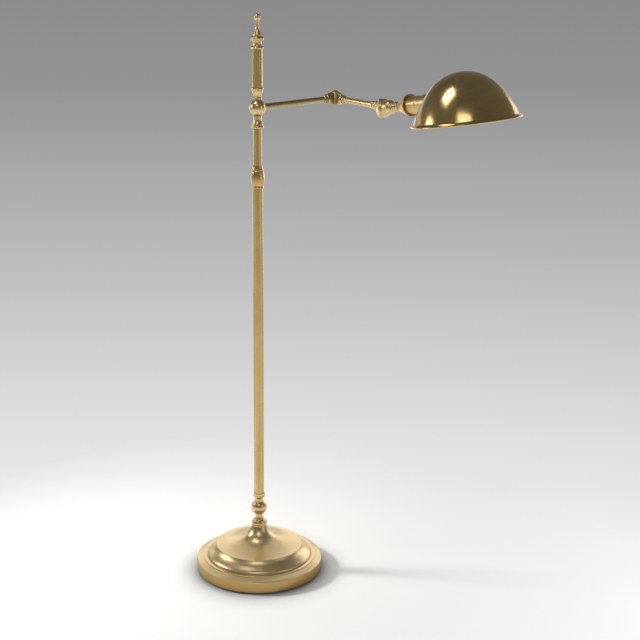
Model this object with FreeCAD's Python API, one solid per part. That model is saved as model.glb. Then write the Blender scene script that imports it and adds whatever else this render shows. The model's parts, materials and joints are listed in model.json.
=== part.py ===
# Bridge floor lamp: a weighted round base, a telescopic pole, a two-part swinging arm and a
# dome shade on an inclined swivel. Millimetres. +Z is up and the origin lies on the floor,
# on the axis of the pole. +X is the side that the arm reaches to, +Y is the back.
import FreeCAD, Part
import math
import os

os.makedirs("parts", exist_ok=True)

V = FreeCAD.Vector
ORIGIN = V(0, 0, 0)
UP = V(0, 0, 1)

# ---------------------------------------------------------------- clearances
RUN_FIT = 0.05          # radial play of a pin or shaft that turns or slides
SEAT_FIT = 0.05         # radial play of a part that is pressed, screwed or glued in
FACE_GAP = 0.4          # air between two castings that turn past each other
EAR_GAP = 0.5           # air beside a moving tongue

# ---------------------------------------------------------------- base
FOOT_H = 6.0
FOOT_R = 12.5
FOOT_INSET = 17.0       # centre of a foot inside the edge of the base
FOOT_COUNT = 4
FOOT_TURN = -100.0      # azimuth of the first foot, degrees

SHELL_R = 140.0
FOOT_CIRCLE_R = SHELL_R - FOOT_INSET
SHELL_WALL = 1.2
RIM_BOTTOM = 5.0
RIM_TOP = 29.6
RIM_ROUND = 1.6
GROOVE_R = 125.5        # edge where the sloping flange meets the shoulder
GROOVE_STEP = 1.6       # height of that edge
SHOULDER_R = 117.0
SHOULDER_Z = 36.0
OGEE_SWELL_Z = 43.0     # height of the widest place of the ogee ring
LIP_R = 96.0
LIP_Z = 60.5
LIP_BEAD = 1.5
CONE_TOP_R = 16.3
CONE_TOP_Z = 104.0

COVER_H = 2.0
COVER_INSET = 1.0       # cover stands this far inside the rim
WEIGHT_TOP = 26.0
WEIGHT_PLAY = 1.0       # air between the weight and the rim
RIDGE_INNER_R = 110.0   # ring on the weight that the shoulder rests on
RIDGE_OUTER_R = 116.0
NUT_POCKET_R = 17.0
NUT_POCKET_H = 11.0

CORD_BORE_R = 4.0
BUSHING_WALL = 1.5
BUSHING_FLANGE_R = 8.0
BUSHING_FLANGE_H = 1.5
BUSHING_LENGTH = 7.0
CORD_Z = 16.0
CHANNEL_W = 11.0
CHANNEL_TOP = 20.0

PIPE_R = 4.9            # threaded lamp pipe
PIPE_BORE_R = 3.4
PIPE_START_Z = 9.0
NUT_FLATS = 15.0
NUT_H = 5.0
WASHER_R = 14.0
WASHER_H = 1.6

# ---------------------------------------------------------------- turned neck over the base
NECK_BEAD_R = 17.6
NECK_BEAD_H = 11.0
NECK_R = 8.4
NECK_BALL_R = 17.4
NECK_BALL_Z = 146.9
NECK_RING_R = 13.4
NECK_RING_Z = 172.0
NECK_RING_H = 9.0
TUBE_SOCKET_DEPTH = 7.0
PLUG_H = 12.0

# ---------------------------------------------------------------- pole
TUBE_R = 11.0           # lower tube and top sleeve
TUBE_WALL = 1.2
COLLAR_BOTTOM_Z = 875.6
COLLAR_H = 48.7
COLLAR_R = 14.5
COLLAR_RING_R = 12.9
COLLAR_SEAT_H = 30.0    # length of lower tube inside the collar
BUSH_H = 12.0
MAST_R = 9.0            # upper tube, slides in the lower tube
MAST_WALL = 1.2
MAST_INSIDE = 425.0     # length of upper tube below the top of the collar
GUIDE_H = 22.0

# ---------------------------------------------------------------- swing hub
HUB_Z = 1047.0          # height of the arms
HUB_BALL_R = 17.4
HUB_NECK_R = 8.2
HUB_WASHER_H = 0.5
HUB_WASHER_EDGE = 1.0   # washer stays this far inside the neck
BELL_R = 13.6           # widest ring of each hub bell
BELL_H = 27.0           # lower bell, ring to washer
UPPER_BELL_H = 26.0
BELL_RING_H = 4.5
BELL_SOCKET = 9.0       # depth of the tube socket in a bell
HUB_PIPE_R = 5.0
HUB_PIPE_BORE_R = 3.4

# ---------------------------------------------------------------- top of the pole
SLEEVE_LENGTH = 90.0
CAP_RING_R = 13.6
CAP_RING_H = 5.4
CAP_NECK_R = 10.0
CAP_NECK_H = 11.6
CAP_SPIGOT = 10.0
FINIAL_FLANGE_R = 14.2
FINIAL_FLANGE_H = 8.4
FINIAL_CONE_R = 9.4
FINIAL_NECK_R = 3.8
FINIAL_NECK_UP = 30.0   # height of the thin neck over the cap
FINIAL_BALL_R = 7.2
FINIAL_H = 55.0
FINIAL_STUD_R = 3.0
FINIAL_STUD = 9.0

# ---------------------------------------------------------------- swinging arms
ARM_R = 6.35
ARM_WALL = 1.2
FIRST_ARM = 225.0       # pole axis to elbow axis
SECOND_ARM = 162.0      # elbow axis to swivel centre
FIRST_TURN = 47.0       # azimuth of the first arm, degrees
SECOND_TURN = -49.0
BALL_SOCKET = 8.0       # depth of the arm in the hub ball
BALL_BOSS_R = 8.4
BALL_BOSS = 1.8

ELBOW_R = 10.0
ELBOW_HALF_H = 13.2
ELBOW_CROWN = 2.8       # rise of the conical top and bottom of the elbow
ELBOW_CROWN_R = 5.2
ELBOW_COLLAR_R = 10.4
ELBOW_COLLAR_AT = 27.5
ELBOW_COLLAR_W = 4.0
ELBOW_SLEEVE_R = 8.0
ELBOW_SLEEVE = 7.0
ELBOW_SHOULDER_AT = 18.0
ELBOW_SHOULDER_W = 7.0  # half width and half height of the neck at its shoulder
ELBOW_SHOULDER_H = 12.6
ELBOW_ROOT_W = 2.6      # half width of the neck inside the drum, so that the arms can fold
ELBOW_WASHER_H = 0.6
ELBOW_PIN_R = 3.5
ELBOW_HEAD_H = 1.8
ELBOW_SKIN = 2.5        # metal left below the blind hole of the pivot screw

# ---------------------------------------------------------------- inclined swivel
MITRE = 45.0            # angle between each arm and the swivel's axis, degrees
HEAD_SWING = 14.6       # turn about that axis, which lifts the head, degrees
SWIVEL_DROP = 3.0       # swivel's centre below the axis of the arm
DISC_R = 20.0
DISC_H = 6.4
DISC_BACK_R = 9.0
DISC_BACK_H = 4.0
DOME_BAND = 5.0         # straight edge of the domed half
DOME_H = 20.0
SWIVEL_WASHER_H = 0.6
SWIVEL_WASHER_IN_R = 9.2
SPIGOT_R = 8.0
SPIGOT_H = 9.0
SPIGOT_GROOVE = 1.2
SPIGOT_GROOVE_W = 3.6
STOP_SCREW_R = 1.5
STOP_SCREW_UP = 4.4
WIRE_R = 3.0            # wire way through the castings

FERRULE_BEAD_R = 10.4
FERRULE_SMALL_R = 8.6
FERRULE_SLEEVE_R = 7.6
FERRULE_LENGTH = 40.0

BOSS_R = 15.4
BOSS_START = 16.0       # distances along the stem from the swivel centre
BOSS_SHOULDER = 25.0
BOSS_END = 37.0
BEAD_R = 10.4
BEAD_END = 43.0

# ---------------------------------------------------------------- lamp holder
TURN_WASHER_H = 0.5
TURN_WASHER_AIR = 0.05  # between each washer and the holder that turns past it
HOLDER_START = BEAD_END + TURN_WASHER_H
HOLDER_COLLAR_R = 10.2
HOLDER_COLLAR_END = 63.0
CUP_END = 94.0
CUP_R = 23.5
CUP_WALL = 1.6
CUP_RIM_W = 2.2
STEM_PIPE_R = 5.0
STEM_PIPE_BORE_R = 3.4
STEM_PIPE_START = 30.0
STEM_NUT_FLATS = 13.0
STEM_NUT_H = 4.0
HOUSING_R = 18.5
HOUSING_WALL = 1.0
HOUSING_END = 191.0
HOUSING_SEAT = 6.0
HOUSING_GROOVE_AT = 123.4
HOUSING_GROOVE = 0.5
GALLERY_START = 141.0
GALLERY_WALL = 1.5
GALLERY_END = 184.0
RING_NUT_R = 22.6
RING_NUT_H = 5.0

SOCKET_BORE_R = 13.3    # inside of the screw shell for a 26 mm lamp cap
SCREW_SHELL_WALL = 0.6
SCREW_SHELL_H = 24.0
INSULATOR_H = 42.0
INSULATOR_PLAY = 0.3
GRUB_R = 1.2
GRUB_LENGTH = 5.0
GRUB_AT = 8.0           # from the back of the insulator
CONTACT_R = 4.5
CONTACT_H = 2.0
SOCKET_SETBACK = 3.0    # screw shell ends this far inside the housing

# ---------------------------------------------------------------- shade
HEAD_TURN = 2.2         # turn of the head about its stem, degrees
SHADE_LEAN = 1.5        # dome's axis off square to the stem, degrees
SHADE_TO_AXIS = 254.9   # swivel centre to the axis of the dome, along the stem
SHADE_DROP = 45.5       # rim below the axis of the lamp holder
SHADE_H = 102.6
SHADE_WALL = 1.0
CROWN_R = 89.6          # radius of the crown of the dome
CROWN_ANGLE = 48.0      # slope where the crown meets the skirt, degrees
SKIRT_R = 193.0
SKIRT_ANGLE = 70.0      # slope where the skirt meets the flared lip
LIP_FLARE_R = 9.0
LIP_END_ANGLE = 18.0
RIM_BEAD_R = 1.7


# ================================================================ drawing helpers
def at(r, z):
    return V(r, 0, z)


def outline(start, *steps):
    """Closed face drawn in radius and height. A step of one point is a straight run, of two
    points an arc through the first to the second, and of three a curve pulled by two points."""
    edges = []
    here = at(*start)
    for step in steps:
        if not isinstance(step[0], tuple):
            there = at(*step)
            edges.append(Part.makeLine(here, there))
        elif len(step) == 2:
            there = at(*step[1])
            edges.append(Part.Arc(here, at(*step[0]), there).toShape())
        else:
            there = at(*step[2])
            pull = Part.BezierCurve()
            pull.setPoles([here, at(*step[0]), at(*step[1]), there])
            edges.append(pull.toShape())
        here = there
    if here.distanceToPoint(at(*start)) > 1e-6:
        edges.append(Part.makeLine(here, at(*start)))
    return Part.Face(Part.Wire(edges))


def turned(start, *steps):
    return outline(start, *steps).revolve(ORIGIN, UP, 360)


def cap_to(radius, base, top):
    """Step that closes a round cap, from its edge at this radius and base up to the axis."""
    rise = top - base
    sphere = (radius ** 2 + rise ** 2) / (2 * rise)
    half = math.asin(radius / abs(sphere)) / 2
    return (abs(sphere) * math.sin(half), top - sphere + sphere * math.cos(half)), (0, top)


def ring(outer, inner, bottom, top):
    return turned((inner, bottom), (outer, bottom), (outer, top), (inner, top))


def rod(radius, bottom, top):
    return Part.makeCylinder(radius, top - bottom, V(0, 0, bottom))


def hexagon(flats, bottom, height):
    corner = flats / 2 / math.cos(math.radians(30))
    points = [V(corner * math.cos(math.radians(60 * i)), corner * math.sin(math.radians(60 * i)), bottom)
              for i in range(7)]
    return Part.Face(Part.makePolygon(points)).extrude(V(0, 0, height))


def ball_reach(ball, neck):
    """Distance from a ball's centre to where a neck of this radius meets it."""
    return math.sqrt(ball ** 2 - neck ** 2)


def azimuth(degrees):
    return V(math.cos(math.radians(degrees)), math.sin(math.radians(degrees)), 0)


def frame_on(origin, z_axis, x_hint):
    """Placement that sends local +Z to z_axis and local +X near x_hint."""
    z = V(z_axis).normalize()
    x = (x_hint - z * x_hint.dot(z)).normalize()
    y = z.cross(x)
    turn = FreeCAD.Matrix(x.x, y.x, z.x, origin.x,
                          x.y, y.y, z.y, origin.y,
                          x.z, y.z, z.z, origin.z,
                          0, 0, 0, 1)
    return FreeCAD.Placement(turn)


def placed(shape, placement):
    moved = shape.copy()
    moved.transformShape(placement.toMatrix(), True)
    return moved


def save(name, *solids):
    shape = solids[0] if len(solids) == 1 else Part.makeCompound(solids)
    shape.exportStep("parts/" + name + ".step")


# ================================================================ places of the arms and head
HUB = V(0, 0, HUB_Z)
ELBOW = HUB + azimuth(FIRST_TURN) * FIRST_ARM
ARM_END = ELBOW + azimuth(SECOND_TURN) * SECOND_ARM
SWIVEL = ARM_END - UP * SWIVEL_DROP
SWIVEL_AXIS = azimuth(SECOND_TURN + MITRE)
STEM = FreeCAD.Rotation(SWIVEL_AXIS, -HEAD_SWING).multVec(azimuth(SECOND_TURN))
HEAD_UP = FreeCAD.Rotation(STEM, HEAD_TURN).multVec((UP - STEM * UP.dot(STEM)).normalize())
SHADE_UP = FreeCAD.Rotation(STEM.cross(HEAD_UP), -SHADE_LEAN).multVec(HEAD_UP)

on_swivel = frame_on(SWIVEL, SWIVEL_AXIS, azimuth(SECOND_TURN))
on_arm_end = frame_on(ARM_END, azimuth(SECOND_TURN) * -1, UP)
on_stem = frame_on(SWIVEL, STEM, HEAD_UP)
on_shade = frame_on(SWIVEL + STEM * SHADE_TO_AXIS - SHADE_UP * SHADE_DROP, SHADE_UP, STEM)


# ================================================================ base
def spun_profile(inset):
    """Filled outline of the base shell, drawn in by a wall thickness."""
    swell = SHOULDER_R - inset
    top = CONE_TOP_Z - inset
    lip = LIP_R - inset
    lip_z = LIP_Z - inset
    return turned(
        (0, RIM_BOTTOM),
        (SHELL_R - inset, RIM_BOTTOM),
        (SHELL_R - inset, RIM_TOP - RIM_ROUND - inset),
        ((SHELL_R - inset - RIM_ROUND * 0.3, RIM_TOP - RIM_ROUND * 0.3 - inset),
         (SHELL_R - inset - RIM_ROUND, RIM_TOP - inset)),
        (GROOVE_R - inset, SHOULDER_Z - GROOVE_STEP - inset),
        (GROOVE_R - inset, SHOULDER_Z - inset),
        (swell, SHOULDER_Z - inset),
        ((swell, OGEE_SWELL_Z - inset), (lip + 7, OGEE_SWELL_Z + 4 - inset), (lip, lip_z - LIP_BEAD)),
        ((lip - LIP_BEAD * 0.3, lip_z - LIP_BEAD * 0.3), (lip - LIP_BEAD, lip_z)),
        ((LIP_R * 0.54, lip_z + 5), (CONE_TOP_R + 10, top - 26), (CONE_TOP_R, top)),
        (0, top))


def base_shell():
    hollow = spun_profile(SHELL_WALL).cut(rod(SHELL_R, CONE_TOP_Z - SHELL_WALL, CONE_TOP_Z))
    shell = spun_profile(0).cut(hollow)
    shell = shell.cut(rod(PIPE_R + SEAT_FIT, CONE_TOP_Z - 2 * SHELL_WALL, CONE_TOP_Z))
    return shell.cut(cord_hole(CORD_BORE_R + BUSHING_WALL + SEAT_FIT))


def cord_hole(radius):
    return Part.makeCylinder(radius, SHELL_R, V(0, SHELL_R / 2, CORD_Z), V(0, 1, 0))


def base_weight():
    edge = SHELL_R - SHELL_WALL - WEIGHT_PLAY
    bottom = FOOT_H + COVER_H
    ridge_top = SHOULDER_Z - SHELL_WALL
    disc = turned((PIPE_R + SEAT_FIT, bottom), (edge, bottom), (edge, WEIGHT_TOP),
                  (RIDGE_OUTER_R, WEIGHT_TOP),
                  (RIDGE_OUTER_R, ridge_top), (RIDGE_INNER_R, ridge_top), (RIDGE_INNER_R, WEIGHT_TOP),
                  (PIPE_R + SEAT_FIT, WEIGHT_TOP))
    disc = disc.cut(rod(NUT_POCKET_R, bottom, bottom + NUT_POCKET_H))
    channel = Part.makeBox(CHANNEL_W, SHELL_R, CHANNEL_TOP - bottom, V(-CHANNEL_W / 2, 0, bottom))
    recess = cord_hole(BUSHING_FLANGE_R).common(Part.makeBox(99, 99, 99, V(-49, edge - BUSHING_LENGTH, 0)))
    return disc.cut(channel).cut(recess)


def base_cover():
    return rod(SHELL_R - SHELL_WALL - COVER_INSET, FOOT_H, FOOT_H + COVER_H)


def rubber_feet():
    feet = []
    for i in range(FOOT_COUNT):
        centre = azimuth(FOOT_TURN + 360.0 / FOOT_COUNT * i) * FOOT_CIRCLE_R
        foot = turned((0, 0), (FOOT_R - 1, 0), (FOOT_R, 1), (FOOT_R, FOOT_H), (0, FOOT_H))
        feet.append(foot.translated(centre))
    return feet


def cord_bushing():
    """Plastic bushing that lines the cord hole at the back of the rim."""
    barrel_r = CORD_BORE_R + BUSHING_WALL
    body = turned((CORD_BORE_R, 0), (barrel_r, 0), (barrel_r, BUSHING_LENGTH - BUSHING_FLANGE_H),
                  (BUSHING_FLANGE_R, BUSHING_LENGTH - BUSHING_FLANGE_H),
                  (BUSHING_FLANGE_R - 1, BUSHING_LENGTH),
                  (CORD_BORE_R, BUSHING_LENGTH))
    face = SHELL_R + BUSHING_FLANGE_H - BUSHING_LENGTH
    return placed(body, frame_on(V(0, face, CORD_Z), V(0, 1, 0), UP))


def tie_pipe():
    top = NECK_RING_Z + NECK_RING_H + PLUG_H
    return ring(PIPE_R, PIPE_BORE_R, PIPE_START_Z, top)


def bottom_washer():
    top = FOOT_H + COVER_H + NUT_POCKET_H
    return ring(WASHER_R, PIPE_R + SEAT_FIT, top - WASHER_H, top)


def bottom_nut():
    top = FOOT_H + COVER_H + NUT_POCKET_H - WASHER_H
    return hexagon(NUT_FLATS, top - NUT_H, NUT_H).cut(rod(PIPE_R + SEAT_FIT, 0, top))


def base_neck():
    foot = CONE_TOP_Z
    reach = ball_reach(NECK_BALL_R, NECK_R)
    ball_low = NECK_BALL_Z - reach
    ball_high = NECK_BALL_Z + reach
    ring_top = NECK_RING_Z + NECK_RING_H
    floor = ring_top - TUBE_SOCKET_DEPTH
    socket_r = TUBE_R + SEAT_FIT
    bore = PIPE_R + SEAT_FIT
    return turned(
        (bore, foot),
        (NECK_BEAD_R - 1, foot),
        (NECK_BEAD_R - 1, foot + 2),
        ((NECK_BEAD_R, foot + NECK_BEAD_H / 2), (NECK_BEAD_R - 1.5, foot + NECK_BEAD_H)),
        ((NECK_R + 3, foot + NECK_BEAD_H + 1), (NECK_R + 1, foot + NECK_BEAD_H + 4), (NECK_R, ball_low - 7)),
        (NECK_R, ball_low - 2),
        (NECK_R + 0.8, ball_low - 1.5),
        (NECK_R + 0.8, ball_low + 0.6),
        ((NECK_BALL_R, NECK_BALL_Z), (NECK_R + 0.8, ball_high - 0.6)),
        (NECK_R + 0.8, ball_high + 1.5),
        (NECK_R, ball_high + 2),
        ((NECK_R, NECK_RING_Z - 2), (NECK_R + 2, NECK_RING_Z), (NECK_RING_R - 0.8, NECK_RING_Z)),
        ((NECK_RING_R, NECK_RING_Z + 2), (NECK_RING_R - 0.8, NECK_RING_Z + 4)),
        (TUBE_R + 1.4, ring_top),
        (socket_r, ring_top),
        (socket_r, floor),
        (bore, floor))


def foot_plug():
    """Brass plug that the pipe screws into, inside the foot of the lower tube."""
    bottom = NECK_RING_Z + NECK_RING_H
    return ring(TUBE_R - TUBE_WALL - SEAT_FIT, PIPE_R + SEAT_FIT, bottom, bottom + PLUG_H)


# ================================================================ pole
def lower_tube():
    bottom = NECK_RING_Z + NECK_RING_H - TUBE_SOCKET_DEPTH
    return ring(TUBE_R, TUBE_R - TUBE_WALL, bottom, COLLAR_BOTTOM_Z + COLLAR_SEAT_H)


def clutch_collar():
    """Barrel-shaped collar on the lower tube, which holds the friction bush."""
    z = COLLAR_BOTTOM_Z
    top = z + COLLAR_H
    waist = COLLAR_RING_R - 1.0
    seat = TUBE_R + SEAT_FIT
    throat = MAST_R + FACE_GAP
    return turned(
        (seat, z),
        (COLLAR_RING_R - 0.6, z),
        ((COLLAR_RING_R, z + 1.8), (COLLAR_RING_R - 0.6, z + 3.6)),
        (waist, z + 5),
        (waist + 0.6, z + 6.5),
        ((COLLAR_R, z + 21), (waist + 0.6, z + 36)),
        (waist - 0.4, z + 37.2),
        ((COLLAR_RING_R - 0.8, z + 39.4), (waist - 0.6, z + 41.4)),
        ((waist - 1.2, z + 43), (throat + 0.8, z + 45), (throat + 0.5, top)),
        (throat, top),
        (throat, z + COLLAR_SEAT_H + BUSH_H),
        (seat, z + COLLAR_SEAT_H + BUSH_H))


def clutch_bush():
    """Split friction bush, clamped round the sliding tube."""
    bottom = COLLAR_BOTTOM_Z + COLLAR_SEAT_H
    bush = ring(TUBE_R, MAST_R + RUN_FIT, bottom, bottom + BUSH_H)
    return bush.cut(Part.makeBox(TUBE_R, 1.0, BUSH_H, V(0, -0.5, bottom)))


def mast_bottom():
    return COLLAR_BOTTOM_Z + COLLAR_H - MAST_INSIDE


def lower_bell_bottom():
    return HUB_Z - ball_reach(HUB_BALL_R, HUB_NECK_R) - HUB_WASHER_H - BELL_H


def upper_tube():
    return ring(MAST_R, MAST_R - MAST_WALL, mast_bottom(), lower_bell_bottom() + BELL_SOCKET)


def guide_ring():
    """Slide ring on the foot of the upper tube."""
    bottom = mast_bottom()
    outer = TUBE_R - TUBE_WALL - RUN_FIT
    return turned((MAST_R - MAST_WALL, bottom - 2), (outer - 1, bottom - 2), (outer, bottom - 1),
                  (outer, bottom + GUIDE_H), (MAST_R + 0.01, bottom + GUIDE_H), (MAST_R + 0.01, bottom),
                  (MAST_R - MAST_WALL, bottom))


# ================================================================ swing hub
def bell(height, socket_r, overhang):
    """Hub bell standing on its ring, with a tube socket below and the pipe's thread above."""
    bore = HUB_PIPE_R + SEAT_FIT
    return turned(
        (socket_r, 0),
        (BELL_R - 0.8, 0),
        ((BELL_R, BELL_RING_H / 2), (BELL_R - 0.8, BELL_RING_H)),
        (BELL_R - 1.8, BELL_RING_H + 0.8),
        ((BELL_R - 2.4, BELL_RING_H + 7), (HUB_NECK_R, BELL_RING_H + 8), (HUB_NECK_R, height - overhang)),
        (HUB_NECK_R + 0.8, height - overhang + 1),
        (HUB_NECK_R + 0.8, height - 1.6),
        (HUB_NECK_R, height - 0.8),
        (HUB_NECK_R, height),
        (bore, height),
        (bore, BELL_SOCKET),
        (socket_r, BELL_SOCKET))


def hub_lower_bell():
    return bell(BELL_H, MAST_R + SEAT_FIT, 8).translated(V(0, 0, lower_bell_bottom()))


def hub_upper_bell():
    body = bell(UPPER_BELL_H, TUBE_R + SEAT_FIT, 7)
    top = upper_bell_top()
    return placed(body, frame_on(V(0, 0, top), UP * -1, V(1, 0, 0)))


def upper_bell_top():
    return HUB_Z + ball_reach(HUB_BALL_R, HUB_NECK_R) + HUB_WASHER_H + UPPER_BELL_H


def hub_pipe():
    """Hollow threaded pivot that joins both bells through the ball."""
    bottom = lower_bell_bottom() + BELL_SOCKET + 1
    top = upper_bell_top() - BELL_SOCKET - 1
    return ring(HUB_PIPE_R, HUB_PIPE_BORE_R, bottom, top)


def hub_washers():
    reach = ball_reach(HUB_BALL_R, HUB_NECK_R)
    washers = []
    for bottom in (HUB_Z - reach - HUB_WASHER_H, HUB_Z + reach):
        outer = HUB_NECK_R - HUB_WASHER_EDGE
        washers.append(ring(outer, HUB_PIPE_R + RUN_FIT, bottom, bottom + HUB_WASHER_H))
    return washers


def hub_ball():
    reach = ball_reach(HUB_BALL_R, HUB_NECK_R)
    bore = HUB_PIPE_R + RUN_FIT
    body = turned((bore, -reach), (HUB_NECK_R, -reach), ((HUB_BALL_R, 0), (HUB_NECK_R, reach)), (bore, reach))
    boss = turned((0, HUB_BALL_R - 4), (BALL_BOSS_R, HUB_BALL_R - 4),
                  (BALL_BOSS_R, HUB_BALL_R + BALL_BOSS - 0.6),
                  (BALL_BOSS_R - 0.6, HUB_BALL_R + BALL_BOSS), (0, HUB_BALL_R + BALL_BOSS))
    on_ball = frame_on(HUB, azimuth(FIRST_TURN), UP)
    body = body.translated(HUB).fuse(placed(boss, on_ball))
    socket = placed(rod(ARM_R + SEAT_FIT, HUB_BALL_R - BALL_SOCKET, 2 * HUB_BALL_R), on_ball)
    wire_way = placed(rod(WIRE_R, 0, HUB_BALL_R), on_ball)
    return body.cut(socket).cut(wire_way.cut(rod(bore, 0, 2 * HUB_Z)))


# ================================================================ top of the pole
def sleeve_bottom():
    return upper_bell_top() - BELL_SOCKET


def top_sleeve():
    return ring(TUBE_R, TUBE_R - TUBE_WALL, sleeve_bottom(), sleeve_bottom() + SLEEVE_LENGTH)


def top_cap():
    z = sleeve_bottom() + SLEEVE_LENGTH
    neck_top = z + CAP_RING_H + CAP_NECK_H
    plug = TUBE_R - TUBE_WALL - SEAT_FIT
    stud = FINIAL_STUD_R + SEAT_FIT
    return turned(
        (0, z - CAP_SPIGOT),
        (plug, z - CAP_SPIGOT),
        (plug, z),
        (CAP_RING_R - 1, z),
        ((CAP_RING_R, z + CAP_RING_H * 0.4), (CAP_RING_R - 1, z + CAP_RING_H * 0.8)),
        (CAP_NECK_R + 0.6, z + CAP_RING_H),
        ((CAP_NECK_R - 0.9, z + CAP_RING_H + CAP_NECK_H / 2), (CAP_NECK_R, neck_top)),
        (stud, neck_top),
        (stud, neck_top - FINIAL_STUD - 1),
        (0, neck_top - FINIAL_STUD - 1))


def finial():
    z = sleeve_bottom() + SLEEVE_LENGTH + CAP_RING_H + CAP_NECK_H
    top = z + FINIAL_H
    ball_z = top - FINIAL_BALL_R
    joint = FINIAL_NECK_R + 0.6
    reach = ball_reach(FINIAL_BALL_R, joint)
    return turned(
        (0, z - FINIAL_STUD),
        (FINIAL_STUD_R, z - FINIAL_STUD),
        (FINIAL_STUD_R, z),
        (CAP_NECK_R + 0.4, z),
        ((FINIAL_FLANGE_R, z + FINIAL_FLANGE_H * 0.5), (FINIAL_CONE_R + 1.2, z + FINIAL_FLANGE_H)),
        (FINIAL_CONE_R, z + FINIAL_FLANGE_H + 0.8),
        ((FINIAL_CONE_R - 1, z + FINIAL_FLANGE_H + 8), (FINIAL_NECK_R, z + 20),
         (FINIAL_NECK_R, z + FINIAL_NECK_UP)),
        ((FINIAL_NECK_R, ball_z - reach - 3), (joint - 0.3, ball_z - reach - 1.5), (joint, ball_z - reach)),
        ((FINIAL_BALL_R, ball_z), (0.0, top)))


# ================================================================ arms
def arm_tube(start, end):
    """Arm tube between two distances along local +Z."""
    return ring(ARM_R, ARM_R - ARM_WALL, start, end)


def first_arm_tube():
    start = HUB_BALL_R - BALL_SOCKET
    end = FIRST_ARM - ELBOW_COLLAR_AT
    return placed(arm_tube(start, end), frame_on(HUB, azimuth(FIRST_TURN), UP))


def second_arm_tube():
    end = SECOND_ARM - FERRULE_LENGTH + 10
    return placed(arm_tube(ELBOW_COLLAR_AT, end), frame_on(ELBOW, azimuth(SECOND_TURN), UP))


def oval(at_x, half_width, half_height):
    """Upright ellipse across local +X; the half height is the larger one."""
    centre = V(at_x, 0, 0)
    return Part.Wire(Part.Ellipse(V(at_x, 0, half_height), V(at_x, half_width, 0), centre).toShape())


def elbow_half(side):
    """Half of the elbow, with its pivot on local Z and its arm along local +X. side is 1 for the
    half whose tongue lies on top, and -1 for the one below."""
    gap = ELBOW_WASHER_H / 2
    back = ELBOW_COLLAR_AT - ELBOW_COLLAR_W / 2
    end = ELBOW_COLLAR_AT + ELBOW_COLLAR_W / 2
    drum = turned((0, gap), (ELBOW_R, gap), (ELBOW_R, ELBOW_HALF_H - 0.8), (ELBOW_R - 0.8, ELBOW_HALF_H),
                  (ELBOW_CROWN_R, elbow_end()), (0, elbow_end()))
    neck = Part.makeLoft([oval(back, ELBOW_SLEEVE_R, ELBOW_SLEEVE_R + 0.4),
                          oval(ELBOW_SHOULDER_AT, ELBOW_SHOULDER_W, ELBOW_SHOULDER_H),
                          oval(ELBOW_R / 2, ELBOW_ROOT_W, ELBOW_HALF_H)], True, False)
    other = rod(ELBOW_R + EAR_GAP, -ELBOW_HALF_H * 2, gap)
    sleeve = turned((0, back - 1), (ELBOW_COLLAR_R - 1, back - 1), (ELBOW_COLLAR_R, back),
                    (ELBOW_COLLAR_R, end - 1), (ELBOW_COLLAR_R - 1, end), (ELBOW_SLEEVE_R, end),
                    (ELBOW_SLEEVE_R, end + ELBOW_SLEEVE - 1), (ELBOW_SLEEVE_R - 1, end + ELBOW_SLEEVE),
                    (0, end + ELBOW_SLEEVE))
    along_arm = frame_on(ORIGIN, V(1, 0, 0), UP)
    body = neck.fuse(placed(sleeve, along_arm)).cut(other).fuse(drum)
    socket = placed(rod(ARM_R + SEAT_FIT, ELBOW_COLLAR_AT, end + ELBOW_SLEEVE + 1), along_arm)
    body = body.cut(socket)
    if side > 0:
        return body.cut(rod(ELBOW_PIN_R + RUN_FIT, 0, 2 * ELBOW_HALF_H))
    body = body.cut(rod(ELBOW_PIN_R + SEAT_FIT, 0, elbow_end() - ELBOW_SKIN))
    return body.mirror(ORIGIN, UP)


def elbow_lower():
    return placed(elbow_half(-1), frame_on(ELBOW, UP, azimuth(FIRST_TURN) * -1))


def elbow_upper():
    return placed(elbow_half(1), frame_on(ELBOW, UP, azimuth(SECOND_TURN)))


def elbow_end():
    return ELBOW_HALF_H + ELBOW_CROWN


def elbow_washer():
    half = ELBOW_WASHER_H / 2
    return ring(ELBOW_R - 1, ELBOW_PIN_R + RUN_FIT, -half, half).translated(ELBOW)


def elbow_screw():
    """Pivot screw of the elbow: a low slotted head on top, threaded into the lower half."""
    end = elbow_end()
    top = end + ELBOW_HEAD_H
    tip = ELBOW_SKIN + 1 - end
    screw = turned((0, tip), (ELBOW_PIN_R, tip), (ELBOW_PIN_R, end), (ELBOW_CROWN_R, end),
                   cap_to(ELBOW_CROWN_R, end, top))
    slot = Part.makeBox(2 * ELBOW_CROWN_R, 1.0, 1.2, V(-ELBOW_CROWN_R, -0.5, top - 1))
    return screw.cut(slot).translated(ELBOW)


# ================================================================ inclined swivel
def disc_face():
    return -SWIVEL_WASHER_H


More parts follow.
